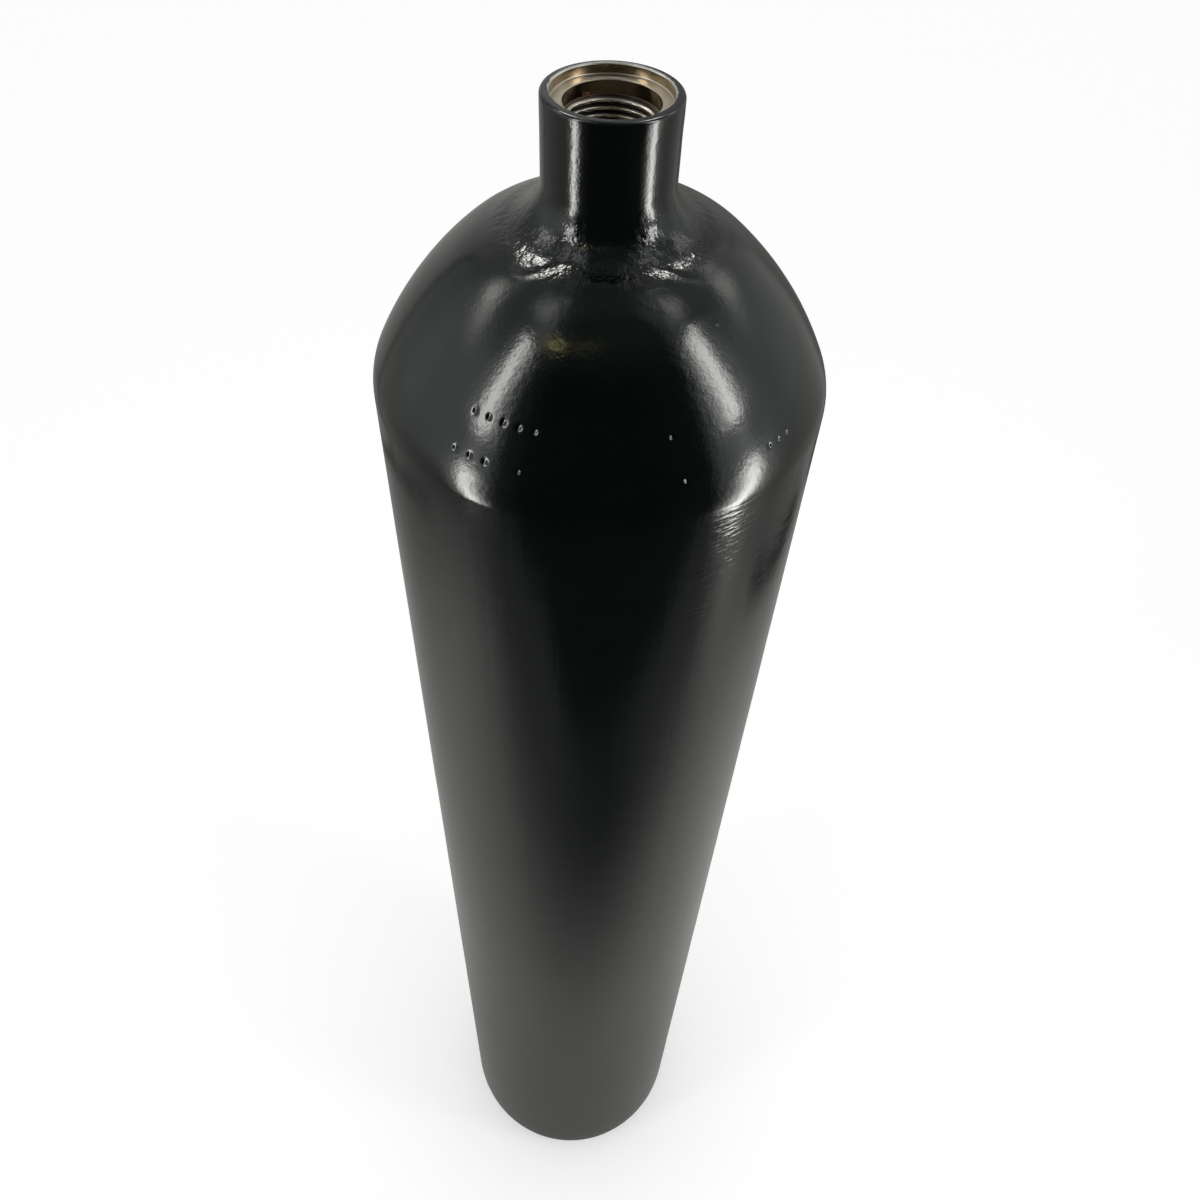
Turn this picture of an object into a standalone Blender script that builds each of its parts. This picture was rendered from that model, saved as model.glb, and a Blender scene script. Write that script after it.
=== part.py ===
"""A bare steel diving cylinder: one seamless shell, turned from a single closed-off section.

The section is drawn in millimetres as (radius, height) points and swept round the Z axis.
Heights start at the foot ring, where the cylinder stands on the floor.
"""
from math import acos, atan2, cos, hypot, pi, radians, sin, sqrt

import bpy

MM = 0.001

# Body
BODY_RADIUS = 70.0
WALL = 4.0
BODY_TOP = 649.6            # the straight wall ends here and the shoulder begins

# Shoulder: three arcs that run into each other without a corner
SHOULDER_HEIGHT = 52.3      # from the end of the straight wall to the crown
KNUCKLE_RADIUS = 18.8
FLANK_RADIUS = 113.8
CROWN_RADIUS = 37.4
CROWN_INSET = 1.2           # the crown arc is centred this far inside the neck's side
ROOT_THICKNESS = 9.0        # steel under the crown, thicker than the wall
SHOULDER_LEAD = 4.6         # the inside starts to close in this far below the outside

# Neck
NECK_RADIUS = 18.6
NECK_HEIGHT = 33.3          # from the crown to the rim
NECK_FILLET = 10.2          # leaves the neck's side
FILLET_TURN = 37.0          # degrees it turns outwards before the wider sweep takes over
ROOT_SWEEP = 21.5           # runs out into the crown
RIM_ROUNDING = 1.95

# Valve seat, bored from the rim down
SEAT_RADIUS = 16.4
SEAT_DEPTH = 2.6
SEAT_CHAMFER = 0.2
SEAT_CORNER = 0.35
RELIEF_RADIUS = 12.75
RELIEF_DEPTH = 3.8
THREAD_MAJOR_RADIUS = 12.5  # M25 x 2
THREAD_PITCH = 2.0
BORE_MOUTH_ROUNDING = 3.0   # where the bore opens into the shell

# Foot: a rounded heel, a narrow flat ring and a base that is pushed inwards
HEEL_RADIUS = 23.0
FOOT_RING_WIDTH = 3.0
FOOT_ARC_RADIUS = 10.0
BASE_RISE = 16.0
BASE_THICKNESS = 6.5
HEEL_FLOOR = 7.0            # steel under the lowest point of the inside

STEPS = 64


def arc(centre, radius, start, end, count):
    """count + 1 points on a circle, from one angle to another: centre + radius * (cos a, sin a)."""
    return [(centre[0] + radius * cos(start + (end - start) * i / count),
             centre[1] + radius * sin(start + (end - start) * i / count)) for i in range(count + 1)]


def round_corner(before, corner, after, radius, count):
    """An arc of that radius in the corner of two straight lines, tangent to both."""
    ax, ay = before[0] - corner[0], before[1] - corner[1]
    bx, by = after[0] - corner[0], after[1] - corner[1]
    la, lb = hypot(ax, ay), hypot(bx, by)
    ax, ay, bx, by = ax / la, ay / la, bx / lb, by / lb
    half = acos(max(-1.0, min(1.0, ax * bx + ay * by))) / 2
    mx, my = ax + bx, ay + by
    reach = radius / sin(half) / hypot(mx, my)
    centre = (corner[0] + mx * reach, corner[1] + my * reach)
    back = radius / sin(half) * cos(half)
    first = (corner[0] + ax * back, corner[1] + ay * back)
    last = (corner[0] + bx * back, corner[1] + by * back)
    start = atan2(first[1] - centre[1], first[0] - centre[0])
    end = atan2(last[1] - centre[1], last[0] - centre[0])
    turn = (end - start + pi) % (2 * pi) - pi
    return arc(centre, radius, start, start + turn, count)


def circles_meet(a, ra, b, rb):
    """The point at distance ra from a and rb from b that lies nearer the axis and lower down."""
    dx, dy = b[0] - a[0], b[1] - a[1]
    gap = hypot(dx, dy)
    along = (ra * ra - rb * rb + gap * gap) / (2 * gap)
    aside = sqrt(ra * ra - along * along)
    return (a[0] + (dx * along - dy * aside) / gap, a[1] + (dy * along + dx * aside) / gap)


def angle_of(centre, point):
    return atan2(point[1] - centre[1], point[0] - centre[0])


def outer_side(rim_height):
    """From the neck's rim down over the fillet, the shoulder, the wall and the heel to the foot ring."""
    crown_centre = (NECK_RADIUS - CROWN_INSET, BODY_TOP + SHOULDER_HEIGHT - CROWN_RADIUS)
    knuckle_centre = (BODY_RADIUS - KNUCKLE_RADIUS, BODY_TOP)
    flank_centre = circles_meet(knuckle_centre, FLANK_RADIUS - KNUCKLE_RADIUS,
                                crown_centre, FLANK_RADIUS - CROWN_RADIUS)
    flank_start = angle_of(flank_centre, crown_centre)
    flank_end = angle_of(flank_centre, knuckle_centre)

    # The sweep touches the crown arc; the fillet touches the neck's side and runs into the sweep
    turn = radians(FILLET_TURN)
    wider = ROOT_SWEEP - NECK_FILLET
    fillet_r = NECK_RADIUS + NECK_FILLET
    sweep_r = fillet_r + wider * cos(turn)
    drop = sqrt((CROWN_RADIUS + ROOT_SWEEP) ** 2 - (sweep_r - crown_centre[0]) ** 2)
    sweep_centre = (sweep_r, crown_centre[1] + drop)
    fillet_centre = (fillet_r, sweep_centre[1] - wider * sin(turn))
    crown_top = angle_of(crown_centre, sweep_centre)

    rim = arc((NECK_RADIUS - RIM_ROUNDING, rim_height - RIM_ROUNDING), RIM_ROUNDING, pi / 2, 0, 5)
    fillet = arc(fillet_centre, NECK_FILLET, pi, pi + turn, 3)
    fillet += arc(sweep_centre, ROOT_SWEEP, pi + turn, pi + crown_top, 4)[1:]
    crown = arc(crown_centre, CROWN_RADIUS, crown_top, flank_start, 6)
    flank = arc(flank_centre, FLANK_RADIUS, flank_start, flank_end, 5)
    knuckle = arc(knuckle_centre, KNUCKLE_RADIUS, flank_end, 0, 4)
    heel = arc((BODY_RADIUS - HEEL_RADIUS, HEEL_RADIUS), HEEL_RADIUS, 0, -pi / 2, 8)
    return rim + fillet + crown[1:] + flank[1:] + knuckle[1:] + heel


def under_side():
    """From the foot ring's inner edge up the dished base to the axis, and the dish's centre and radius.

    The foot arc touches the floor and the dish: foot_r^2 + (foot_arc - centre)^2 = (dish + foot_arc)^2.
    """
    foot_r = BODY_RADIUS - HEEL_RADIUS - FOOT_RING_WIDTH
    step = FOOT_ARC_RADIUS - BASE_RISE
    dish = (foot_r ** 2 + step ** 2 - FOOT_ARC_RADIUS ** 2) / (2 * (FOOT_ARC_RADIUS - step))
    centre = (0.0, BASE_RISE - dish)
    foot_centre = (foot_r, FOOT_ARC_RADIUS)
    lean = angle_of(centre, foot_centre)
    foot = arc(foot_centre, FOOT_ARC_RADIUS, -pi / 2, lean - pi, 4)
    base = arc(centre, dish, lean, pi / 2, 6)
    return foot + base[1:], centre, dish


def inner_side(rim_height, dish_centre, dish):
    """From the axis over the inside of the base, up the wall and the neck's bore to the rim."""
    inner_r = BODY_RADIUS - WALL
    floor = dish + BASE_THICKNESS

    # The corner arc touches the wall and the raised base, and leaves HEEL_FLOOR of steel under it:
    # (inner_r - q)^2 + (q + HEEL_FLOOR - centre)^2 = (floor + q)^2, solved for its radius q
    lift = HEEL_FLOOR - dish_centre[1]
    half_b = inner_r + floor - lift
    corner_r = half_b - sqrt(half_b ** 2 - (inner_r ** 2 + lift ** 2 - floor ** 2))
    corner_centre = (inner_r - corner_r, HEEL_FLOOR + corner_r)
    lean = angle_of(dish_centre, corner_centre)
    base = arc(dish_centre, floor, pi / 2, lean, 5)
    corner = arc(corner_centre, corner_r, lean - pi, 0, 7)

    # Inside of the shoulder: a quarter of an ellipse that leaves more and more steel towards the neck
    start = BODY_TOP - SHOULDER_LEAD
    rise = BODY_TOP + SHOULDER_HEIGHT - ROOT_THICKNESS - start
    bore_r = THREAD_MAJOR_RADIUS - 0.5413 * THREAD_PITCH
    mouth_r = bore_r + BORE_MOUTH_ROUNDING * 1.6
    last = acos(mouth_r / inner_r)
    shoulder = [(inner_r * cos(last * i / 11), start + rise * sin(last * i / 11)) for i in range(12)]
    slope = -rise * cos(last) / (inner_r * sin(last))
    mouth = (bore_r, shoulder[-1][1] + slope * (bore_r - mouth_r))

    thread_top = rim_height - SEAT_DEPTH - RELIEF_DEPTH
    ledge = rim_height - SEAT_DEPTH
    bore = round_corner(shoulder[-1], mouth, (bore_r, thread_top), BORE_MOUTH_ROUNDING, 3)
    lead_in = RELIEF_RADIUS - bore_r
    seat = round_corner((RELIEF_RADIUS, ledge), (SEAT_RADIUS, ledge), (SEAT_RADIUS, rim_height), SEAT_CORNER, 2)
    neck = [(bore_r, thread_top - lead_in), (RELIEF_RADIUS, thread_top), (RELIEF_RADIUS, ledge)]
    rim = [(SEAT_RADIUS, rim_height - SEAT_CHAMFER), (SEAT_RADIUS + SEAT_CHAMFER, rim_height)]
    return base + corner[1:] + shoulder + bore + neck + seat + rim


def section():
    """The whole section as one line, from the axis inside the base to the axis under it."""
    rim_height = BODY_TOP + SHOULDER_HEIGHT + NECK_HEIGHT
    under, dish_centre, dish = under_side()
    line = inner_side(rim_height, dish_centre, dish) + outer_side(rim_height) + under
    line[0] = (0.0, line[0][1])
    line[-1] = (0.0, line[-1][1])
    points = [line[0]]
    for point in line[1:]:
        if hypot(point[0] - points[-1][0], point[1] - points[-1][1]) > 0.02:
            points.append(point)
    return points


def black_paint():
    """Gloss black paint, stoved on."""
    material = bpy.data.materials.new("black_paint")
    material.use_nodes = True
    shader = material.node_tree.nodes["Principled BSDF"]
    shader.inputs["Base Color"].default_value = (0.008, 0.009, 0.009, 1.0)
    shader.inputs["Roughness"].default_value = 0.12
    shader.inputs["Metallic"].default_value = 0.0
    material.diffuse_color = (0.02, 0.022, 0.022, 1.0)
    return material


def cylinder_shell(collection):
    """Sweeps the section once round the Z axis."""
    points = section()
    profile = bpy.data.meshes.new("cylinder_shell")
    profile.from_pydata([(r * MM, 0.0, z * MM) for r, z in points],
                        [(i, i + 1) for i in range(len(points) - 1)], [])
    shell = bpy.data.objects.new("cylinder_shell", profile)
    collection.objects.link(shell)
    sweep = shell.modifiers.new("sweep", "SCREW")
    sweep.axis = "Z"
    sweep.angle = 2 * pi
    sweep.steps = sweep.render_steps = STEPS
    sweep.use_merge_vertices = True
    sweep.merge_threshold = 0.00001

    depsgraph = bpy.context.evaluated_depsgraph_get()
    turned = bpy.data.meshes.new_from_object(shell.evaluated_get(depsgraph))
    shell.modifiers.clear()
    shell.data = turned
    bpy.data.meshes.remove(profile)
    turned.name = "cylinder_shell"
    turned.materials.clear()
    turned.materials.append(black_paint())
    turned.shade_smooth()
    turned.set_sharp_from_angle(angle=radians(32))
    return shell


def main():
    for thing in list(bpy.data.objects):
        bpy.data.objects.remove(thing, do_unlink=True)
    tank = bpy.data.collections.new("scuba_tank")
    bpy.context.scene.collection.children.link(tank)
    cylinder_shell(tank)


main()
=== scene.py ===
"""A bare steel diving cylinder in gloss black paint, standing on a pale floor and seen from above.

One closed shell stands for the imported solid: every point of it is a function of a place along the
section and an angle round the axis, in metres, with the foot at height 0.
"""
from math import acos, atan2, cos, hypot, pi, radians, sin, sqrt

import bpy
import numpy as np
from mathutils import Matrix


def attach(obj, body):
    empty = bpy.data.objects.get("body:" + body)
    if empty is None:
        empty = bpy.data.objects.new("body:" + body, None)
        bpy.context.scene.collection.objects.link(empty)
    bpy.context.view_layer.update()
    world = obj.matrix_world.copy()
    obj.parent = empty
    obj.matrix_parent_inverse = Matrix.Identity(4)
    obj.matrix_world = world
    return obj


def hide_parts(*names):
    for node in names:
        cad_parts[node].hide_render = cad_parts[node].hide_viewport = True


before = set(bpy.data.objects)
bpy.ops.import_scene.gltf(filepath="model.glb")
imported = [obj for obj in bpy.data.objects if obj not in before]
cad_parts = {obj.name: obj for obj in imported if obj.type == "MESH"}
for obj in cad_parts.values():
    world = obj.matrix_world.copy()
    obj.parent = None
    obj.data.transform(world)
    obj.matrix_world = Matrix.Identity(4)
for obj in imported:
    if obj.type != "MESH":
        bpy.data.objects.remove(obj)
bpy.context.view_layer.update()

# ---------------------------------------------------------------- sizes in metres
# They are the solid's, but for the rim, the seat and the neck's root, which lie within a millimetre of it.
BODY_R, WALL, BODY_TOP = 0.070, 0.004, 0.6496
SHOULDER_H, KNUCKLE_R, FLANK_R, CROWN_R, CROWN_INSET = 0.0523, 0.0188, 0.1138, 0.0374, 0.0012
ROOT_T, SHOULDER_LEAD = 0.009, 0.0046
NECK_R, NECK_H, RIM_R = 0.0186, 0.0333, 0.0010
NECK_FILLET, FILLET_TURN, ROOT_SWEEP = 0.0118, radians(45.0), 0.016
CREASE_R, CREASE_W, CREASE_DEPTH = 0.0254, 0.0015, 0.00024
SEAT_R, SEAT_DEPTH, SEAT_CHAMFER, SEAT_CORNER = 0.0160, 0.0026, 0.0002, 0.00035
RELIEF_R, RELIEF_DEPTH = 0.01275, 0.0038
THREAD_R, PITCH, THREAD_LEAD, MOUTH_R, MOUTH_SPREAD = 0.0125, 0.002, 0.00035, 0.003, 1.6
HEEL_R, RING_W, FOOT_R, BASE_RISE, BASE_T, HEEL_FLOOR = 0.023, 0.003, 0.010, 0.016, 0.0065, 0.007

RIM_Z = BODY_TOP + SHOULDER_H + NECK_H
LEDGE_Z = RIM_Z - SEAT_DEPTH
THREAD_TOP = LEDGE_Z - RELIEF_DEPTH
THREAD_DEPTH = 0.5413 * PITCH       # five eighths of the height of a sharp 60 degree thread
BORE_R = THREAD_R - THREAD_DEPTH
THREAD_FADE = (0.6945, 0.6985)      # between these heights the thread runs out
RUST_SPOT = (-0.0068, 0.0107, THREAD_TOP + 0.0005)
COLUMNS = 192                       # points round the axis
SHARP = radians(34)                 # faces that meet at more than this are shaded with an edge

# The painted skin: it lies this far inside the solid on average, and is even near the rim and on the foot
SKIN_DEPTH, EVEN_RIM, RIM_BLEND, FOOT_BLEND = 0.00012, 0.004, (0, 0.006), (0.001, 0.02)
ROOT_FROM, ROOT_TO, SHOULDER_FROM = (0.6935, 0.7005), (0.709, 0.716), (0.645, 0.66)
# Seed, shortest and longest wavelength and number of waves of its unevenness
LONG_WAVES, LUMPS, SMALL_LUMPS = (3, 0.030, 0.070, 60), (5, 0.0045, 0.010, 90), (8, 0.0022, 0.004, 120)
# How high each stands: the long waves on the wall and what the shoulder adds, then the lumps
WALL_WAVE, SHOULDER_WAVE, ROOT_LUMPS, ROOT_SMALL, SHOULDER_LUMPS = 0.00002, 0.00003, 0.000028, 0.000012, 0.000004
# The crease swings outwards by this much between these degrees from the front, and starts at these heights
CREASE_SWING, CREASE_TURN, CREASE_FROM = 0.0085, (19, 43), (0.69, 0.695)
# On the right it lies this many degrees further round. Then: where it is deepest, how widely, its share elsewhere
CREASE_SHIFT, CREASE_DEEPEST, CREASE_SPREAD, CREASE_FAINT = 5, 31, 11, 0.15
# The root's lumps are this share as high at the back, and grow towards the front over so many degrees
BACK_SHARE, LUMP_SPREAD = 0.35, 55

# Which finish a stretch of the section has: the number of its material
PAINT, SEAT, THREAD, INSIDE = range(4)

# Punch marks: how far round from the back the first one lies, its height, how many there are and how far apart
MARKS = ((0.1770, 0.6722, 5.0, 0.0052), (0.1740, 0.6622, 3.0, 0.0052), (0.1960, 0.6624, 1.0, 0.0030),
         (0.2410, 0.6719, 1.0, 0.0040), (0.2440, 0.6614, 1.0, 0.0038), (0.2735, 0.6616, 3.0, 0.0042))


# ---------------------------------------------------------------- the section
def arc(centre, radius, start, end, count):
    """Points on a circle: centre + radius * (cos a, sin a), a running evenly from start to end."""
    a = np.linspace(start, end, count + 1)
    return np.stack([centre[0] + radius * np.cos(a), centre[1] + radius * np.sin(a)], 1)


def line(a, b, count):
    """Points on a straight line: a + (b - a) * t, t running evenly from 0 to 1."""
    t = np.linspace(0.0, 1.0, count + 1)[:, None]
    return np.asarray(a) + (np.asarray(b) - np.asarray(a)) * t


def corner(before, at, after, radius, count):
    """The arc of that radius that touches both straight lines that meet at the corner."""
    a, b, c = (np.asarray(p, float) for p in (before, at, after))
    u, v = (a - b) / np.linalg.norm(a - b), (c - b) / np.linalg.norm(c - b)
    half = acos(float(np.clip(u @ v, -1, 1))) / 2
    centre = b + (u + v) / np.linalg.norm(u + v) * radius / sin(half)
    first, last = b + u * radius / np.tan(half), b + v * radius / np.tan(half)
    start, end = angle(centre, first), angle(centre, last)
    return arc(centre, radius, start, start + (end - start + pi) % (2 * pi) - pi, count)


def angle(centre, point):
    """The direction from the centre to the point, in radians from the outward direction."""
    return atan2(point[1] - centre[1], point[0] - centre[0])


def circles_meet(a, ra, b, rb):
    """The point at distance ra from a and rb from b, on the side of the axis."""
    dx, dy = b[0] - a[0], b[1] - a[1]
    gap = hypot(dx, dy)
    along = (ra * ra - rb * rb + gap * gap) / (2 * gap)
    aside = sqrt(ra * ra - along * along)
    return a[0] + (dx * along - dy * aside) / gap, a[1] + (dy * along + dx * aside) / gap


def outside_section():
    """Rim, neck, fillet, sweep, crown, flank, knuckle, wall and heel, downwards, as arcs that touch."""
    crown_c = (NECK_R - CROWN_INSET, BODY_TOP + SHOULDER_H - CROWN_R)
    knuckle_c = (BODY_R - KNUCKLE_R, BODY_TOP)
    flank_c = circles_meet(knuckle_c, FLANK_R - KNUCKLE_R, crown_c, FLANK_R - CROWN_R)
    flank_a, flank_b = angle(flank_c, crown_c), angle(flank_c, knuckle_c)
    wider = ROOT_SWEEP - NECK_FILLET
    sweep_r = NECK_R + NECK_FILLET + wider * cos(FILLET_TURN)
    sweep_c = (sweep_r, crown_c[1] + sqrt((CROWN_R + ROOT_SWEEP) ** 2 - (sweep_r - crown_c[0]) ** 2))
    fillet_c = (NECK_R + NECK_FILLET, sweep_c[1] - wider * sin(FILLET_TURN))
    crown_a = angle(crown_c, sweep_c)
    return [
        line((SEAT_R + SEAT_CHAMFER, RIM_Z), (NECK_R - RIM_R, RIM_Z), 2)[1:-1],
        arc((NECK_R - RIM_R, RIM_Z - RIM_R), RIM_R, pi / 2, 0, 10),
        line((NECK_R, RIM_Z - RIM_R), (NECK_R, fillet_c[1]), 12)[1:-1],
        arc(fillet_c, NECK_FILLET, pi, pi + FILLET_TURN, 14),
        arc(sweep_c, ROOT_SWEEP, pi + FILLET_TURN, pi + crown_a, 20)[1:],
        arc(crown_c, CROWN_R, crown_a, flank_a, 26)[1:],
        arc(flank_c, FLANK_R, flank_a, flank_b, 26)[1:],
        arc(knuckle_c, KNUCKLE_R, flank_b, 0, 16)[1:],
        line((BODY_R, BODY_TOP), (BODY_R, HEEL_R), 40)[1:-1],
        arc((BODY_R - HEEL_R, HEEL_R), HEEL_R, 0, -pi / 2, 16),
    ]


def under_section():
    """The foot ring's inner side and the base that is pushed inwards as a dish, and the dish's centre and
    radius."""
    foot_r = BODY_R - HEEL_R - RING_W
    drop = FOOT_R - BASE_RISE
    dish = (foot_r ** 2 + drop ** 2 - FOOT_R ** 2) / (2 * (FOOT_R - drop))
    centre = (0.0, BASE_RISE - dish)
    lean = angle(centre, (foot_r, FOOT_R))
    foot = arc((foot_r, FOOT_R), FOOT_R, -pi / 2, lean - pi, 8)
    return [foot, arc(centre, dish, lean, pi / 2, 14)[1:]], centre, dish


def inside_section(centre, dish):
    """From the axis over the base and up the wall to the rim. The bore is straight: the thread is cut later."""
    inner_r = BODY_R - WALL
    floor = dish + BASE_T
    lift = HEEL_FLOOR - centre[1]
    half_b = inner_r + floor - lift
    corner_r = half_b - sqrt(half_b ** 2 - (inner_r ** 2 + lift ** 2 - floor ** 2))
    corner_c = (inner_r - corner_r, HEEL_FLOOR + corner_r)
    lean = angle(centre, corner_c)

    start = BODY_TOP - SHOULDER_LEAD
    rise = BODY_TOP + SHOULDER_H - ROOT_T - start
    mouth_r = BORE_R + MOUTH_R * MOUTH_SPREAD
    last = acos(mouth_r / inner_r)
    t = np.linspace(0, last, 19)
    shoulder = np.stack([inner_r * np.cos(t), start + rise * np.sin(t)], 1)
    slope = -rise * cos(last) / (inner_r * sin(last))
    mouth = (BORE_R, shoulder[-1][1] + slope * (BORE_R - mouth_r))
    bore = corner(shoulder[-1], mouth, (BORE_R, THREAD_TOP), MOUTH_R, 5)

    # The bore: rows close together where the thread is seen, half as many further down
    fine = THREAD_TOP - 5 * PITCH
    coarse = np.arange(bore[-1][1] + 0.0004, fine - 0.0001, PITCH / 11)
    rows = np.concatenate([coarse, np.arange(fine, THREAD_TOP - 0.00002, PITCH / 20)])
    thread = np.stack([np.full(len(rows), BORE_R), rows], 1)
    seat = corner((RELIEF_R, LEDGE_Z), (SEAT_R, LEDGE_Z), (SEAT_R, RIM_Z), SEAT_CORNER, 4)
    return [
        (INSIDE, arc(centre, floor, pi / 2, lean, 8)), (INSIDE, arc(corner_c, corner_r, lean - pi, 0, 8)[1:]),
        (INSIDE, shoulder), (INSIDE, bore), (THREAD, thread),
        (SEAT, line((RELIEF_R, THREAD_TOP), (RELIEF_R, LEDGE_Z - 0.0002), 7)),
        (SEAT, line((RELIEF_R + 0.0002, LEDGE_Z), (SEAT_R - SEAT_CORNER, LEDGE_Z), 6)[:-1]),
        (SEAT, seat), (SEAT, line((SEAT_R, LEDGE_Z + SEAT_CORNER), (SEAT_R, RIM_Z - SEAT_CHAMFER), 6)[1:]),
        (PAINT, np.array([(SEAT_R + SEAT_CHAMFER, RIM_Z)])),
    ]


def whole_section():
    """The whole line from the axis inside the base to the axis under it, and each point's finish."""
    under, centre, dish = under_section()
    parts = inside_section(centre, dish) + [(PAINT, p) for p in outside_section() + under]
    points = np.concatenate([p for _, p in parts])
    finish = np.concatenate([np.full(len(p), k) for k, p in parts])
    keep = np.concatenate([[True], np.hypot(*np.diff(points, axis=0).T) > 0.00001])
    points, finish = points[keep], finish[keep]
    points[0, 0] = points[-1, 0] = 0.0
    return points, finish


def run_along(section):
    """How far along the section each of its points lies: the sum of the straight steps before it."""
    return np.concatenate([[0], np.cumsum(np.hypot(*np.diff(section, axis=0).T))])


def row_at_height(z):
    """How far along the section the point of the shoulder or the wall at that height lies."""
    section, finish = whole_section()
    outside = np.flatnonzero((finish == PAINT) & (section[:, 0] > 0.02) & (section[:, 1] > 0.1))
    return float(np.interp(-z, -section[outside, 1], run_along(section)[outside]))


# ---------------------------------------------------------------- the shell
def ripples(p, seed, shortest, longest, count):
    """Uneven metal: the sum of many plane waves cos(k . p + phase) in all directions, with wavelengths between
    the two given, divided by the root of half their number so that it comes out near 1."""
    rng = np.random.default_rng(seed)
    way = rng.normal(size=(count, 3))
    way /= np.linalg.norm(way, axis=1)[:, None]
    k = way * (2 * pi / np.exp(rng.uniform(np.log(shortest), np.log(longest), count)))[:, None]
    phase = rng.uniform(0, 2 * pi, count)
    total = np.zeros(p.shape[:-1])
    for wave, shift in zip(k, phase):
        total += np.cos(p @ wave + shift)
    return total / sqrt(count / 2)


def step(x, low, high):
    """0 below low, 1 above high, and 3t^2 - 2t^3 between."""
    t = np.clip((x - low) / (high - low), 0, 1)
    return t * t * (3 - 2 * t)


def thread_cut(z, turn):
    """How deep a right-hand thread of 60 degrees is cut at height z and angle turn, from 0 at its crests.

    The phase z / pitch - turn / 2 pi says where in one pitch the point lies. The distance from the crest's
    middle goes up a straight flank between a flat crest and a flat root, and both ends of the flank are rounded
    by the difference of two soft ramps w * log(1 + exp(x / w)).
    """
    phase = (z / PITCH - turn / (2 * pi)) % 1.0
    away = np.abs(phase - 0.5) * 2
    x, w = (away - 0.25) / 0.625, 0.05
    flank = w * (np.logaddexp(0, x / w) - np.logaddexp(0, (x - 1) / w))
    return THREAD_DEPTH * flank * step(z, *THREAD_FADE)


def shell_points(section, finish):
    """Every point of the shell: the section turned by each angle, with the thread cut into the bore and the
    forged metal's unevenness taken off along the normal. The neck's root is the most uneven, above all at the
    front. A shallow crease exp(-((r - middle) / width) ^ 2) runs round it, and is deepest on either side of the
    front, where it swings outwards."""
    r0, z0 = section.T
    turn = pi / 2 + np.arange(COLUMNS) * 2 * pi / COLUMNS       # from the back round by the left side
    r = np.repeat(r0[:, None], COLUMNS, 1)
    z = np.repeat(z0[:, None], COLUMNS, 1)

    cut = finish == THREAD
    lead = BORE_R + np.maximum(z[cut] - (THREAD_TOP - THREAD_LEAD), 0) * ((RELIEF_R - BORE_R) / THREAD_LEAD)
    r[cut] = np.maximum(BORE_R + thread_cut(z[cut], turn[None, :]), lead)

    along = np.gradient(section, axis=0)
    along /= np.linalg.norm(along, axis=1)[:, None]
    normal = np.stack([-along[:, 1], along[:, 0]], 1)          # outwards on the painted side
    place = np.stack([r * np.cos(turn), r * np.sin(turn), z], -1)
    painted = (finish == PAINT) & (z0 < RIM_Z - EVEN_RIM)
    root = step(z0, *ROOT_FROM) * (1 - step(z0, *ROOT_TO))
    shoulder = step(z0, *SHOULDER_FROM) * (1 - root)
    root, shoulder = root[painted][:, None], shoulder[painted][:, None]
    p = place[painted]
    lumps = ripples(p, *LUMPS)
    aside = np.degrees(turn) - 270                             # 0 to the front, positive to the right
    ahead = BACK_SHARE + (1 - BACK_SHARE) * np.exp(-(aside / LUMP_SPREAD) ** 2)
    amount = (WALL_WAVE + SHOULDER_WAVE * shoulder) * ripples(p, *LONG_WAVES)
    amount += root * (ROOT_LUMPS * lumps + ROOT_SMALL * ripples(p, *SMALL_LUMPS)) * ahead
    amount += shoulder * SHOULDER_LUMPS * lumps
    side = np.where(aside > 0, aside - CREASE_SHIFT, -aside)
    off = (r[painted] - CREASE_R - CREASE_SWING * step(side, *CREASE_TURN)) / CREASE_W
    deep = CREASE_FAINT + np.exp(-((side - CREASE_DEEPEST) / CREASE_SPREAD) ** 2)
    deep = deep - CREASE_FAINT * np.exp(-(aside / 15) ** 2)       # none at the very front
    amount -= CREASE_DEPTH * deep * np.exp(-off ** 2) * step(z0[painted], *CREASE_FROM)[:, None]
    below_rim = step(RIM_Z - EVEN_RIM - z0[painted], *RIM_BLEND)[:, None]
    above_foot = step(z0[painted], *FOOT_BLEND)[:, None]
    inwards = np.zeros_like(r)
    inwards[painted] = np.minimum(amount - SKIN_DEPTH, 0) * below_rim * above_foot
    r = r + normal[:, :1] * inwards
    z = z + normal[:, 1:] * inwards
    return r, z, turn


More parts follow.
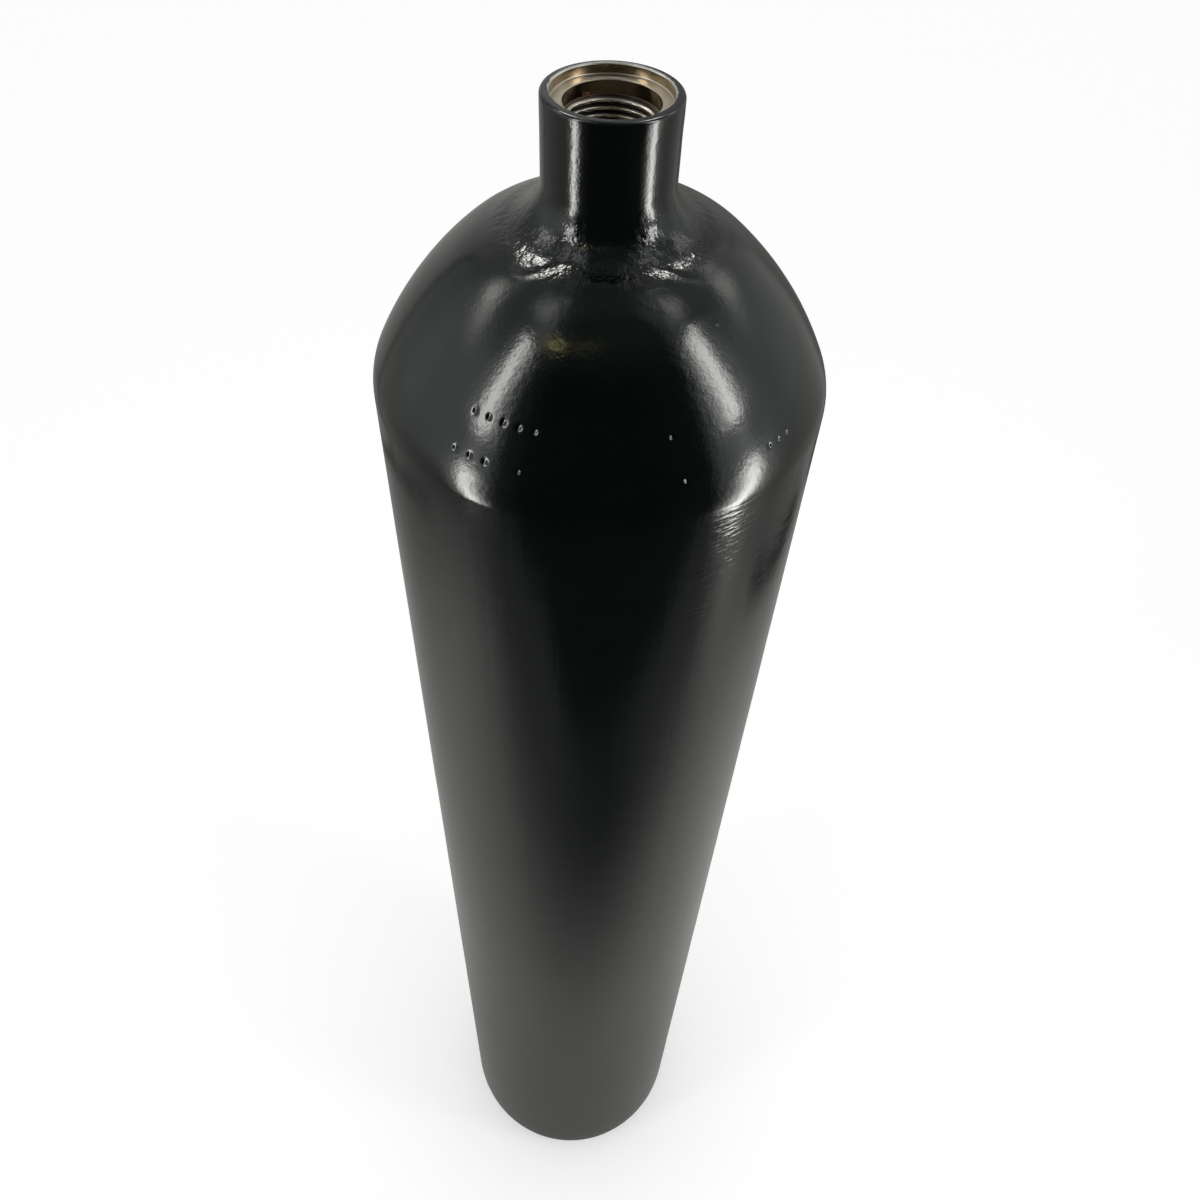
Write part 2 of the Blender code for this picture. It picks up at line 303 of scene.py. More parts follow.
def make_shell():
    """Joins the points with quads, closes both ends on the axis, and lays a map over it in metres:
    the distance round the body and the distance along the section."""
    section, finish = whole_section()
    r, z, turn = shell_points(section, finish)
    ring = slice(1, len(section) - 1)
    points = np.stack([r[ring] * np.cos(turn), r[ring] * np.sin(turn), z[ring]], -1).reshape(-1, 3)
    points = np.concatenate([[[0, 0, section[0, 1]]], points, [[0, 0, section[-1, 1]]]])
    rows = len(section) - 2
    index = 1 + np.arange(rows * COLUMNS).reshape(rows, COLUMNS)
    nxt = np.roll(index, -1, 1)
    quads = np.stack([index[:-1], index[1:], nxt[1:], nxt[:-1]], -1).reshape(-1, 4)
    first = np.stack([np.zeros(COLUMNS, int), index[0], nxt[0]], 1)
    last = np.stack([index[-1], np.full(COLUMNS, len(points) - 1), nxt[-1]], 1)

    mesh = bpy.data.meshes.new("diving_cylinder")
    mesh.from_pydata(points.tolist(), [], first.tolist() + quads.tolist() + last.tolist())
    band = np.concatenate([[finish[1]], np.maximum(finish[1:-2], finish[2:-1]), [finish[-2]]])
    band[(finish[1:] == PAINT) | (finish[:-1] == PAINT)] = PAINT
    mesh.polygons.foreach_set("material_index", np.repeat(band, COLUMNS).astype(np.int32))

    # The map: columns run from the back of the body, so that its seam is behind
    corner_column = np.concatenate([np.tile([0.5, 0, 1], (1, COLUMNS, 1)).reshape(-1),
                                    np.tile([0, 0, 1, 1], rows * COLUMNS - COLUMNS),
                                    np.tile([0, 0.5, 1], COLUMNS)])
    sides = np.concatenate([np.full(COLUMNS, 3), np.full((rows - 1) * COLUMNS, 4), np.full(COLUMNS, 3)])
    column = np.repeat(np.tile(np.arange(COLUMNS), rows + 1), sides) + corner_column
    row = np.concatenate([np.tile([0, 1, 1], COLUMNS),
                          (np.arange(1, rows)[:, None, None] + np.tile([0, 1, 1, 0], (COLUMNS, 1))).reshape(-1),
                          np.tile([rows, rows + 1, rows], COLUMNS)])
    uv = np.stack([column / COLUMNS * 2 * pi * BODY_R, run_along(section)[row]], 1)
    mesh.uv_layers.new(name="wrap").data.foreach_set("uv", uv.astype(np.float32).ravel())
    mesh.shade_smooth()
    mesh.set_sharp_from_angle(angle=SHARP)
    mesh.update()
    shell = bpy.data.objects.new("diving_cylinder", mesh)
    bpy.context.scene.collection.objects.link(shell)
    return shell


# ---------------------------------------------------------------- shader nodes in short form
class Nodes:
    """Adds nodes to one tree. Sockets are given by name or number, each with a value or another's socket."""

    def __init__(self, tree):
        self.tree = tree

    def put(self, kind, sockets=None, **settings):
        node = self.tree.nodes.new(kind if kind.startswith("Node") else "ShaderNode" + kind)
        for name, value in settings.items():
            setattr(node, name, value)
        for key, value in (sockets or {}).items():
            if isinstance(value, bpy.types.NodeSocket):
                self.tree.links.new(value, node.inputs[key])
            else:
                node.inputs[key].default_value = value
        return node

    def math(self, operation, *values):
        return self.put("Math", dict(enumerate(values)), operation=operation).outputs[0]

    def noise(self, vector, scale, detail=2.0, roughness=0.5):
        sockets = {"Vector": vector, "Scale": scale, "Detail": detail, "Roughness": roughness}
        return self.put("TexNoise", sockets).outputs[0]

    def stretch(self, vector, scale):
        return self.put("Mapping", {"Vector": vector, "Scale": scale}).outputs[0]

    def ramp(self, value, low, high):
        """0 at low, 1 at high, with the same soft step as in step. low may be the larger one."""
        return self.put("MapRange", {0: value, 1: low, 2: high}, interpolation_type="SMOOTHSTEP").outputs[0]

    def product(self, *values):
        """The first value times each of the others in turn."""
        total = values[0]
        for value in values[1:]:
            total = self.math("MULTIPLY", total, value)
        return total

    def mix(self, amount, a, b):
        return self.put("Mix", {0: amount, 6: a, 7: b}, data_type="RGBA").outputs[2]

    def join(self, value, socket):
        self.tree.links.new(value, socket)

    def group(self, name, sockets=None):
        return self.put("Group", sockets, node_tree=bpy.data.node_groups[name])

    def stain_mask(self, size, amount):
        """The mask of the staining group alone: 1 where it is stained."""
        sockets = {"Clean": BLACK, "Stained": WHITE, "Size": size, "Amount": amount}
        return self.group("staining", sockets).outputs["Mask"]

    def glow(self):
        return self.put("Attribute", attribute_name="glow").outputs["Color"]

    def bump(self, height, distance, normal=None):
        sockets = {"Height": height, "Distance": distance, "Strength": 1.0}
        if normal is not None:
            sockets["Normal"] = normal
        return self.put("Bump", sockets).outputs[0]


def new_group(name, inputs, outputs):
    """An empty shader group with the named sockets, and its Nodes, its inputs and its output node."""
    tree = bpy.data.node_groups.new(name, "ShaderNodeTree")
    for label, kind, value in inputs:
        socket = tree.interface.new_socket(label, in_out="INPUT", socket_type="NodeSocket" + kind)
        if value is not None:
            socket.default_value = value
    for label, kind in outputs:
        tree.interface.new_socket(label, in_out="OUTPUT", socket_type="NodeSocket" + kind)
    nodes = Nodes(tree)
    return nodes, nodes.put("NodeGroupInput").outputs, nodes.put("NodeGroupOutput")


def empty_material(name):
    """A material without nodes, and its Nodes."""
    material = bpy.data.materials.new(name)
    material.use_nodes = True
    material.node_tree.nodes.clear()
    return material, Nodes(material.node_tree)


def new_material(name):
    """A material, its Nodes, and a Principled shader that is joined to its output."""
    material, nodes = empty_material(name)
    shader = nodes.put("BsdfPrincipled")
    nodes.put("OutputMaterial", {0: shader.outputs[0]})
    return material, nodes, shader


# ---------------------------------------------------------------- finishes
BLACK, WHITE = (0, 0, 0, 1), (1, 1, 1, 1)
PAINT_CLEAN, PAINT_STAINED = (0.0005, 0.0020, 0.0016, 1), (0.0008, 0.0024, 0.0019, 1)
BARE_STEEL = (0.60, 0.58, 0.55, 1)
SEAT_CLEAN, SEAT_STAINED = (0.37, 0.30, 0.205, 1), (0.25, 0.175, 0.10, 1)
THREAD_CLEAN, THREAD_STAINED = (0.60, 0.55, 0.48, 1), (0.34, 0.26, 0.18, 1)
RUST, RUBBED_LEDGE = (0.30, 0.10, 0.035, 1), (0.44, 0.39, 0.32, 1)
# The plain bore is darkened towards a dark brown, and the thread's roots towards near black as painted shade
DARKER_BORE_BROWN, GROOVE_SHADE_TONE = (0.07, 0.045, 0.025, 1), (0.018, 0.014, 0.010, 1)
SCALE_GREY, SCALE_BROWN = (0.075, 0.068, 0.06, 1), (0.12, 0.06, 0.03, 1)

# Heights of the paint's patterns in millimetres. The wall takes some off the peel, the neck adds some grain
SWELL, PEEL, PEEL_WALL, GRAIN, GRAIN_NECK = 0.030, 0.038, -0.016, 0.006, 0.014
DRAWN, FLOW, FORGED, MILLIMETRE = 0.060, 0.080, 0.25, 0.001
NIB_HEIGHT, PUNCH_DEPTH, SCALE_HEIGHT = 0.00010, 0.00030, 0.00005      # in metres


def finish_groups():
    """The effects that several finishes share."""
    # Height above the foot and distance from the axis, from object coordinates
    n, _, out = new_group("place_on_body", [], [("Height", "Float"), ("Radius", "Float"), ("Point", "Vector")])
    point = n.put("TexCoord").outputs["Object"]
    parts = n.put("SeparateXYZ", {0: point}).outputs
    squares = n.math("ADD", n.product(parts[0], parts[0]), n.product(parts[1], parts[1]))
    radius = n.math("SQRT", squares)
    for key, value in (("Height", parts[2]), ("Radius", radius), ("Point", point)):
        n.join(value, out.inputs[key])

    # Turning marks: fine rings that follow the height and the radius, broken up by a little noise
    n, given, out = new_group("turning_marks", [("Pitch", "Float", 0.0002), ("Wander", "Float", 0.3)],
                              [("Height", "Float")])
    place = n.group("place_on_body").outputs
    rough = n.noise(n.stretch(place["Point"], (90, 90, 900)), 1.0, 3.0)
    track = n.math("DIVIDE", n.math("ADD", place["Height"], place["Radius"]), given["Pitch"])
    wander, turned = n.product(given["Wander"], 20.0), n.product(track, 2 * pi)
    wave = n.math("SINE", n.math("MULTIPLY_ADD", rough, wander, turned))
    n.join(n.math("MULTIPLY_ADD", rough, 0.6, n.product(wave, 0.2)), out.inputs[0])

    # Staining: a clean and a stained colour, mixed by large soft spots and sharper small ones. Amount lowers
    # the level above which a spot shows
    n, given, out = new_group("staining", [("Clean", "Color", None), ("Stained", "Color", None),
                                           ("Size", "Float", 300.0), ("Amount", "Float", 0.5)],
                              [("Color", "Color"), ("Mask", "Float")])
    point = n.group("place_on_body").outputs["Point"]
    large = n.product(n.noise(point, given["Size"], 4.0, 0.6), 0.65)
    small = n.product(n.noise(point, n.product(given["Size"], 6.0), 3.0, 0.7), 0.35)
    lowered = n.product(given["Amount"], 0.8)
    spots = n.math("ADD", large, small)
    mask = n.ramp(spots, n.math("SUBTRACT", 0.92, lowered), n.math("SUBTRACT", 1.08, lowered))
    n.join(n.mix(mask, given["Clean"], given["Stained"]), out.inputs[0])
    n.join(mask, out.inputs[1])

    # Flowed paint, as a height in millimetres: orange peel, slow waves down the drawn wall, ripples across the
    # top of its right side, and a coarse grainy skin over the forged root of the neck
    n, _, out = new_group("paint_skin", [], [("Height", "Float")])
    place = n.group("place_on_body").outputs
    point, up, radius = place["Point"], place["Height"], place["Radius"]
    right = n.put("SeparateXYZ", {0: point}).outputs[0]
    swell, peel, grain = n.noise(point, 150.0, 1.0), n.noise(point, 560.0, 2.0, 0.6), n.noise(point, 1500.0, 1.0)
    drawn = n.noise(n.stretch(point, (260, 260, 7)), 1.0, 2.0)
    flow = n.noise(n.stretch(point, (170, 170, 760)), 1.0, 1.5)
    forged = n.noise(point, 430.0, 2.0, 0.6)
    root = n.product(n.ramp(radius, 0.0345, 0.0300), n.ramp(up, 0.7135, 0.7065), n.ramp(up, 0.686, 0.693))
    neck = n.product(n.ramp(radius, 0.022, 0.020), n.ramp(up, 0.69, 0.70))
    wall = n.ramp(up, 0.655, 0.648)
    top = n.product(wall, n.ramp(up, 0.570, 0.63), n.ramp(right, 0.024, 0.036))
    height = n.math("MULTIPLY_ADD", swell, SWELL, n.product(peel, n.math("MULTIPLY_ADD", wall, PEEL_WALL, PEEL)))
    grain_height = n.math("MULTIPLY_ADD", neck, GRAIN_NECK, GRAIN)
    for pattern, most in ((grain, grain_height), (n.product(drawn, wall), DRAWN), (n.product(flow, top), FLOW),
                          (n.product(forged, root), FORGED)):
        height = n.math("MULTIPLY_ADD", pattern, most, height)
    n.join(height, out.inputs[0])

    # Plain round punch marks in short rows on the shoulder: -exp(-42 * distance ^ 2) from each mark's middle,
    # with the distance in spacings
    n, given, out = new_group("punch_rows", [("Along", "Float", 0.0), ("Across", "Float", 0.0),
                                             ("Dots", "Float", 5.0), ("Spacing", "Float", 0.0052)],
                              [("Height", "Float")])
    uv = n.put("SeparateXYZ", {0: n.put("UVMap", uv_map="wrap").outputs[0]}).outputs
    u = n.math("DIVIDE", n.math("SUBTRACT", uv[0], given["Along"]), given["Spacing"])
    v = n.math("DIVIDE", n.math("SUBTRACT", uv[1], given["Across"]), given["Spacing"])
    near = n.math("SUBTRACT", n.math("SUBTRACT", u, n.math("FLOOR", u)), 0.5)
    far = n.math("ADD", n.product(near, near), n.product(v, v))
    in_row = n.product(n.math("GREATER_THAN", u, 0.0), n.math("LESS_THAN", u, given["Dots"]))
    dent = n.math("EXPONENT", n.product(far, -42.0))
    n.join(n.product(dent, in_row, -1.0), out.inputs[0])


def black_paint():
    """Gloss black stoved paint: near black with a green-blue cast, orange peel, dust nibs, rows of punch marks,
    and the edge of the seat rubbed down to bright steel."""
    material, n, shader = new_material("black_paint")
    place = n.group("place_on_body").outputs
    point = place["Point"]
    stain = n.group("staining", {"Clean": PAINT_CLEAN, "Stained": PAINT_STAINED, "Size": 90.0,
                                 "Amount": 0.62}).outputs
    scuff = n.stain_mask(700.0, 0.5)

    # Bare steel where the paint ends at the seat's edge. It is wider at the back
    back = n.put("SeparateXYZ", {0: point}).outputs[1]
    edge = n.math("MULTIPLY_ADD", n.noise(point, 900.0, 3.0), 0.0009,
                  n.math("MULTIPLY_ADD", back, -0.04, place["Radius"]))
    bare = n.product(n.ramp(edge, 0.01695, 0.01675), n.ramp(place["Height"], 0.7342, 0.7346))
    n.join(n.mix(bare, stain["Color"], BARE_STEEL), shader.inputs["Base Color"])
    n.join(bare, shader.inputs["Metallic"])
    gloss = n.math("MULTIPLY_ADD", scuff, 0.05, n.math("MULTIPLY_ADD", stain["Mask"], 0.02, 0.11))
    n.join(n.math("MULTIPLY_ADD", bare, 0.2, gloss), shader.inputs["Roughness"])

    cells = n.put("TexVoronoi", {"Vector": point, "Scale": 60.0, "Randomness": 1.0}, feature="F1")
    away = cells.outputs["Distance"]
    nib = n.math("EXPONENT", n.product(away, away, -900.0))
    rows = 0.0
    for along, height, dots, spacing in MARKS:
        row = n.group("punch_rows", {"Along": along, "Across": row_at_height(height), "Dots": dots,
                                     "Spacing": spacing})
        rows = n.math("ADD", row.outputs[0], rows)
    normal = n.bump(n.group("paint_skin").outputs[0], MILLIMETRE)
    normal = n.bump(nib, NIB_HEIGHT, normal)
    normal = n.bump(rows, PUNCH_DEPTH, normal)
    n.join(normal, shader.inputs["Normal"])
    return material


def turned_steel(name, clean, stained, roughness, pitch, mark, amount, size):
    """Machined steel with turning marks and a warm stain of old oil. The bottoms of the thread are darkened by
    their depth as painted shade, the plain bore is darkened towards brown, the ledge is rubbed paler than the
    walls, and one spot at the end of the plain bore has rusted."""
    material, n, shader = new_material(name)
    place = n.group("place_on_body").outputs
    point, up = place["Point"], place["Height"]
    stain = n.group("staining", {"Clean": clean, "Stained": stained, "Size": size, "Amount": amount}).outputs
    rust = n.stain_mask(210.0, 0.30)
    away = n.put("VectorMath", {0: point, 1: RUST_SPOT}, operation="DISTANCE").outputs["Value"]
    spot = n.product(n.ramp(away, 0.0016, 0.0004), n.ramp(n.noise(point, 1400.0, 2.0), 0.40, 0.55))
    rust = n.math("MAXIMUM", rust, spot)
    marks = n.group("turning_marks", {"Pitch": pitch, "Wander": 0.4}).outputs[0]

    # The thread lies low, then comes the plain bore, and the ledge is a thin layer above it
    low = n.ramp(up, THREAD_TOP + 0.0001, THREAD_TOP - 0.0001)
    # Painted shade: the thread's roots are darkened by their depth
    groove_shade = n.product(low, n.ramp(place["Radius"], BORE_R + 0.0003, BORE_R + 0.00075))
    plain = n.product(n.ramp(up, LEDGE_Z - 0.0001, LEDGE_Z - 0.0003), n.math("SUBTRACT", 1.0, low))
    ledge = n.product(n.ramp(up, LEDGE_Z + 0.0004, LEDGE_Z + 0.0002),
                      n.ramp(up, LEDGE_Z - 0.0003, LEDGE_Z - 0.0001))
    colour = n.mix(rust, stain["Color"], RUST)
    colour = n.mix(ledge, colour, RUBBED_LEDGE)
    # The plain bore is darkened towards a dark brown
    colour = n.mix(n.product(plain, 0.35), colour, DARKER_BORE_BROWN)
    # Painted shade in the thread's grooves
    colour = n.mix(n.product(groove_shade, 0.92), colour, GROOVE_SHADE_TONE)
    n.join(colour, shader.inputs["Base Color"])
    n.join(n.math("MULTIPLY_ADD", rust, -0.7, 1.0), shader.inputs["Metallic"])
    rough = n.math("MULTIPLY_ADD", stain["Mask"], 0.08, n.math("MULTIPLY_ADD", marks, 0.05, roughness))
    dull = n.math("MAXIMUM", n.math("MAXIMUM", rust, groove_shade), ledge)
    n.join(n.math("MULTIPLY_ADD", dull, 0.25, rough), shader.inputs["Roughness"])
    n.join(n.bump(marks, mark), shader.inputs["Normal"])
    return material


def scaled_steel():
    """The unseen inside: grey mill scale with rust-brown spots."""
    material, n, shader = new_material("scaled_steel")
    stain = n.group("staining", {"Clean": SCALE_GREY, "Stained": SCALE_BROWN, "Size": 120.0,
                                 "Amount": 0.55}).outputs
    n.join(stain["Color"], shader.inputs["Base Color"])
    n.join(n.math("MULTIPLY_ADD", stain["Mask"], -0.5, 0.7), shader.inputs["Metallic"])
    n.join(n.math("MULTIPLY_ADD", stain["Mask"], 0.2, 0.5), shader.inputs["Roughness"])
    n.join(n.bump(stain["Mask"], SCALE_HEIGHT), shader.inputs["Normal"])
    return material


# ---------------------------------------------------------------- the studio
def azimuth(x, y):
    """Degrees round the axis: 0 to the front, positive to the right."""
    return np.degrees(np.arctan2(x, -y))


def soft_patch(az, el, at, size, level, lean=0.0):
    """A soft bright patch: level * exp(-(across / width) ^ 2 - (up / height) ^ 2), leaning by some height per
    degree of azimuth."""
    across = (az - at[0] + 180) % 360 - 180
    up = el - at[1] - lean * across
    return level * np.exp(-(across / size[0]) ** 2 - (up / size[1]) ** 2)


# Soft patches of the tent: azimuth and elevation in degrees, half width and height, level and lean. The amber
# ones are thin streaks of warm light above the front
AMBER = (((-39, 54.6), (8, 0.9), 5.0, 0.14), ((-12, 58.0), (14, 0.9), 0.6, 0.10))
TENT_PATCHES = (((-149, 55.0), (11, 3.6), 24.0, 0.05), ((-104, 41.5), (11, 6.5), 3.5, -0.5),
                ((-75, 65.5), (21, 6.5), 1.4, -0.32), ((90, 62.5), (16, 5.5), 2.0, 0.36),
                ((121, 37.5), (13, 7), 1.8, 0.48), ((156, 53.5), (10, 3.6), 22.0, -0.05)) + AMBER
# Painted pools of light on the floor's glow: place, radius and what they add
FLOOR_LIGHT_POOLS = (((-0.50, -0.14), 0.20, 0.18), ((0.37, 0.02), 0.22, 0.14), ((0.65, -0.22), 0.13, 0.62))
FLOOR_CAST, STRIP_CAST, AMBER_CAST = (0.985, 1.0, 0.945), (1.015, 1.0, 0.965), (1.12, 1.0, 0.42)
COOL_CAST, WARM_CAST = (0.91, 1.0, 0.99), (1.01, 1.0, 0.955)
TENT_RADIUS, STRIP_AWAY = 8.5, 0.75
FLOOR_GREY, FLOOR_LIFT, WORLD_LIGHT = (0.82, 0.82, 0.82, 1), 0.30, 0.82

# The camera: its place, and its right, down and forward directions
FOCAL_PIXELS, PHOTO_PIXELS, SENSOR = 1040.0, 1200, 36.0
EYE = (0.0, -0.266595, 0.848449)
RIGHT = (0.99901471, 0.02699029, 0.0352296)
DOWN = (0.0434588, -0.75586149, -0.65328764)
AHEAD = (0.00899627, 0.654175, -0.75628972)


def tent_level(az, el):
    """How bright the tent round the object is in each direction: pale sides that dim downwards, each with its
    own steps, a narrow dim seam on the left, a dim top with a softer band below it, a dark front between the
    light strips, and the patches where the top lets light in. Azimuth and elevation are in degrees."""
    away = np.abs(az)
    rise = step(el, -28, 18)
    left = 0.34 + rise * (0.08 + 0.42 * step(away, 126, 100) + 0.20 * step(away, 128, 155))
    left = left + 0.16 * step(away, 95, 72) * step(el, -30, -5)
    right = 0.36 + 0.28 * step(az, 102, 84) + rise * (0.24 + 0.10 * step(az, 135, 110))
    right = right - 0.22 * step(az, 141, 150)
    level = np.where(az < 0, left, right) - 0.09 * step(-el, 29, 38)
    level = level * (1 - 0.42 * np.exp(-((az + 131 + 0.06 * el) / 2.2) ** 2) * (1 - step(el, 26, 33)))
    band = 0.24 + 0.22 * step(away, 172, 145)
    level = level + (band - level) * step(el, 30, 46)
    level = level + (0.17 - level) * step(el, 68, 82)
    front = step(az, -51, -44) * (1 - step(az, 52, 64))
    dark = 0.022 + 0.02 * step(away, 18, 45) + 0.07 * np.exp(-((az + 43) / 6) ** 2) + 0.08 * step(el, 44, 62)
    level = level + (dark - level) * front * (1 - step(el, 72, 88))
    for patch in TENT_PATCHES:
        level = level + soft_patch(az, el, *patch)
    return level


def floor_light_and_shade(x, y):
    """How bright the floor looks in the paint, as painted light and shade: a pale disc, darkened near the foot as
    the cylinder's painted shadow and brightened by painted pools of light, that dims to the front, where the tent
    is open, the dark front beyond it, a dark line across the right side, the foot of the tent round it all, and a
    dark ring near its edge at the back of the left side. x, y and all distances are in metres."""
    far, az = np.hypot(x, y), azimuth(x, y)
    # Painted shadow of the cylinder: darker within a fifth of a metre of the axis. Then dimmer to the back and
    # far out
    level = 0.26 + 0.15 * step(far, 0.07, 0.20) - 0.05 * step(y, 0.0, 0.30) - 0.09 * step(far, 0.50, 0.70)
    # Painted pools of light, the brightest by the right strip's foot
    for at, size, more in FLOOR_LIGHT_POOLS:
        level = level + more * np.exp(-((x - at[0]) ** 2 + (y - at[1]) ** 2) / size ** 2)
    ahead, aside = -y, 0.12 * step(-x, 0.05, 0.5)
    middle = 0.19 - 0.11 * np.exp(-((x - 0.08) / 0.17) ** 2)
    level = level + (middle - level) * step(ahead, 0.12 + aside, 0.34 + aside)
    edge = 0.435 + 0.11 * step(-x, 0.02, 0.28)
    level = level + (0.035 - level) * step(ahead, edge - 0.05, edge + 0.04)
    off = x - 0.592 + 0.062 * step(y, 0.08, 0.44)
    level = level * (1 - 0.97 * np.exp(-(off / (0.034 + 0.02 * step(y, 0.2, 0.5))) ** 2) * step(y, 0.02, 0.14))
    outside = tent_level(az, -np.degrees(np.arctan2(0.65, np.maximum(far - 0.07, 0.1))))
    level = level + (outside - level) * step(far, 0.70, 0.76)
    ring = np.exp(-((far - 0.623 - 0.001 * np.abs(az)) / 0.014) ** 2) * step(-az, 88, 100)
    return level * (1 - 0.85 * ring)


def tinted(level, cast):
    """The level times the cast's red, green and blue, with an alpha of 1."""
    return np.concatenate([level[:, None] * np.asarray(cast), np.ones((len(level), 1))], 1)


def tent_cast(az, el, level):
    """The tent's tint: cool green-blue in its dim parts, warm where light comes in, nearly warm at the back, and
    amber in its thin streaks."""
    cool, warm = np.array(COOL_CAST), np.array(WARM_CAST)
    share = np.maximum(step(level, 0.7, 1.6), 0.75 * step(np.abs(az), 110, 140))[:, None]
    cast = cool + (warm - cool) * share
    amber = np.clip(sum(soft_patch(az, el, *patch) for patch in AMBER) / level, 0, 1)[:, None]
    return cast + (np.array(AMBER_CAST) - cast) * amber


def grid_mesh(name, points, colour):
    """A sheet of quads over a grid of points, each point with its own glow."""
    rows, columns = points.shape[:2]
    index = np.arange(rows * columns).reshape(rows, columns)
    quads = np.stack([index[:-1, :-1], index[:-1, 1:], index[1:, 1:], index[1:, :-1]], -1).reshape(-1, 4)
    mesh = bpy.data.meshes.new(name)
    mesh.from_pydata(points.reshape(-1, 3).tolist(), [], quads.tolist())
    glow = mesh.color_attributes.new("glow", "FLOAT_COLOR", "POINT")
    glow.data.foreach_set("color", colour.astype(np.float32).ravel())
    sheet = bpy.data.objects.new(name, mesh)
    bpy.context.scene.collection.objects.link(sheet)
    return sheet


def glow_material(name, diffuse_share, see_through=False):
    """Gives off the colour stored in the points. Surfaces without gloss get that share of it."""
    material, n = empty_material(name)
    glossy = n.put("LightPath").outputs["Is Glossy Ray"]
    strength = n.math("MULTIPLY_ADD", glossy, 1.0 - diffuse_share, diffuse_share)
    light = n.put("Emission", {0: n.glow(), 1: strength}).outputs[0]
    if see_through:
        light = n.put("AddShader", {0: light, 1: n.put("BsdfTransparent").outputs[0]}).outputs[0]
    n.put("OutputMaterial", {0: light})
    material.cycles.emission_sampling = "NONE" if diffuse_share == 1.0 else "AUTO"
    return material


def light_strip(name, az, half_width, inner, shift, pieces):
    """An upright strip of light that faces the axis. Across it the light falls off as exp(-x ^ 2), x in half
    widths, with a second, weaker crest on the inner side (inner is 1 or -1) and a faint wide skirt. Each piece
    has its lowest and highest point, its level and soft ends. shift says how far aside the middle lies at each
    height."""
    x = np.linspace(-4.5, 4.5, 31)
    up = np.linspace(0.003, 1.56, 79)
    a = radians(az)
    out, side = np.array([sin(a), -cos(a)]), np.array([cos(a), sin(a)])
    flat = out * STRIP_AWAY + side * (x * half_width + shift(up)[:, None])[..., None]
    points = np.concatenate([flat, np.repeat(up[:, None], len(x), 1)[..., None]], -1)
    rise = sum(level * step(up, low - 0.03, low + 0.03) * (1 - step(up, high - 0.03, high + 0.03))
               for low, high, level in pieces)
    across = np.exp(-x ** 2) + 0.32 * np.exp(-(x - 1.35 * inner) ** 2) + 0.07 * np.exp(-(x / 2.9) ** 2)
    across = across * step(4.5 - np.abs(x), 0, 1.5)
    strip = grid_mesh(name, points, tinted((rise[:, None] * across).ravel(), STRIP_CAST))
    strip.data.materials.append(glow_material(name, 0.25, True))
    strip.visible_camera = strip.visible_shadow = False


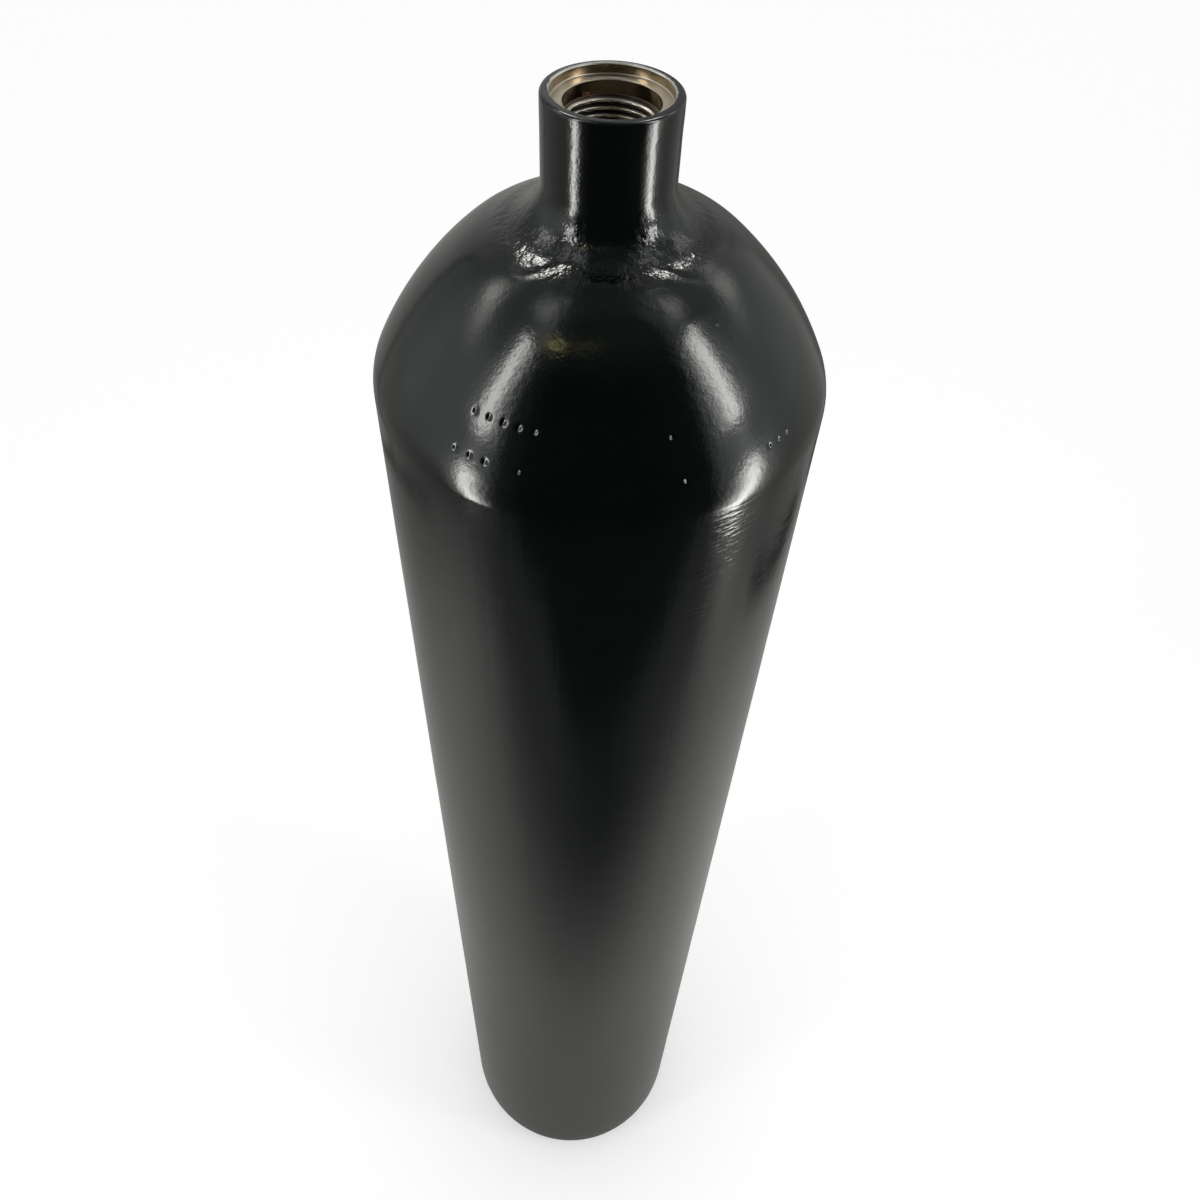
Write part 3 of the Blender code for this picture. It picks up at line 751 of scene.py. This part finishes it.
def studio():
    """The floor, the tent of light round the object, the two light strips and the world. Only the floor and
    the world are seen directly."""
    # Floor: rings round the axis, close together near the foot
    ring = np.concatenate([[0.0], np.geomspace(0.03, 0.95, 110), np.geomspace(1.0, 9.0, 14)])
    a = np.linspace(pi, -pi, 241)
    x, y = ring[:, None] * np.sin(a), -ring[:, None] * np.cos(a)
    points = np.stack([x, y, np.zeros_like(x)], -1)
    floor = grid_mesh("floor", points, tinted(floor_light_and_shade(x, y).ravel(), FLOOR_CAST))
    material, n = empty_material("pale_floor")
    ray = n.put("LightPath").outputs
    white = n.put("BsdfDiffuse", {0: FLOOR_GREY}).outputs[0]
    lift = n.put("Emission", {0: WHITE, 1: n.product(ray["Is Camera Ray"], FLOOR_LIFT)}).outputs[0]
    seen = n.put("AddShader", {0: white, 1: lift}).outputs[0]
    # Glossy rays see the floor's painted light and shade instead of its lit colour
    mirrored = n.put("Emission", {0: n.glow(), 1: 1.0}).outputs[0]
    by_gloss = n.math("MAXIMUM", ray["Is Glossy Ray"], ray["Is Transmission Ray"])
    face = n.put("MixShader", {0: by_gloss, 1: seen, 2: mirrored}).outputs[0]
    clear = n.put("BsdfTransparent").outputs[0]
    from_below = n.put("NewGeometry").outputs["Backfacing"]
    n.put("OutputMaterial", {0: n.put("MixShader", {0: from_below, 1: face, 2: clear}).outputs[0]})
    material.cycles.emission_sampling = "NONE"
    floor.data.materials.append(material)

    # Tent: a wide dome that only glossy surfaces see
    el = np.radians(np.linspace(-4, 90, 189))[:, None]
    a = np.linspace(-pi, pi, 721)
    way = np.stack([np.cos(el) * np.sin(a), -np.cos(el) * np.cos(a), np.sin(el) * np.ones_like(a)], -1)
    az, up = np.degrees(a)[None, :] + 0 * el, np.degrees(el) + 0 * a[None, :]
    level = tent_level(az, up).ravel()
    tent = grid_mesh("tent", TENT_RADIUS * way, tinted(level, tent_cast(az.ravel(), up.ravel(), level)))
    tent.data.materials.append(glow_material("tent", 1.0))
    tent.visible_camera = tent.visible_diffuse = tent.visible_shadow = tent.visible_transmission = False

    light_strip("strip_left", -57.8, 0.046, 1,
                lambda up: -0.05 * np.maximum(0.65 - up, 0) - 0.014 * step(up, 0.8, 1.0),
                ((0.09, 0.695, 13.0), (0.66, 0.86, 0.8), (0.848, 1.445, 10.5)))
    light_strip("strip_right", 72.3, 0.054, -1, np.zeros_like,
                ((0.0, 0.673, 13.0), (0.64, 0.88, 0.8), (0.862, 1.395, 11.5)))

    # The world: plain white to the camera, a little less as light
    world = bpy.data.worlds.new("plain")
    bpy.context.scene.world = world
    world.use_nodes = True
    world.node_tree.nodes.clear()
    n = Nodes(world.node_tree)
    ray = n.put("LightPath").outputs
    strength = n.math("MULTIPLY_ADD", ray["Is Camera Ray"], 1.0 - WORLD_LIGHT, WORLD_LIGHT)
    n.put("OutputWorld", {0: n.put("Background", {0: WHITE, 1: strength}).outputs[0]})


def camera():
    """The photograph's place and direction."""
    data = bpy.data.cameras.new("camera")
    data.sensor_width = SENSOR
    data.lens = FOCAL_PIXELS / PHOTO_PIXELS * SENSOR
    data.clip_start, data.clip_end = 0.01, 40.0
    eye = bpy.data.objects.new("camera", data)
    bpy.context.scene.collection.objects.link(eye)
    turn = Matrix([RIGHT, [-v for v in DOWN], [-v for v in AHEAD]]).transposed().to_4x4()
    eye.matrix_world = Matrix.Translation(EYE) @ turn
    bpy.context.scene.camera = eye


# ---------------------------------------------------------------- everything together
finish_groups()
shell = make_shell()
for made in (black_paint(),
             turned_steel("turned_seat", SEAT_CLEAN, SEAT_STAINED, roughness=0.145, pitch=0.00022, mark=0.000015,
                          amount=0.52, size=260.0),
             turned_steel("cut_thread", THREAD_CLEAN, THREAD_STAINED, roughness=0.24, pitch=0.0003, mark=0.00002,
                          amount=0.45, size=300.0),
             scaled_steel()):
    shell.data.materials.append(made)
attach(shell, "root")
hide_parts("cylinder_shell")

studio()
camera()
bpy.context.scene.view_settings.view_transform = "Standard"
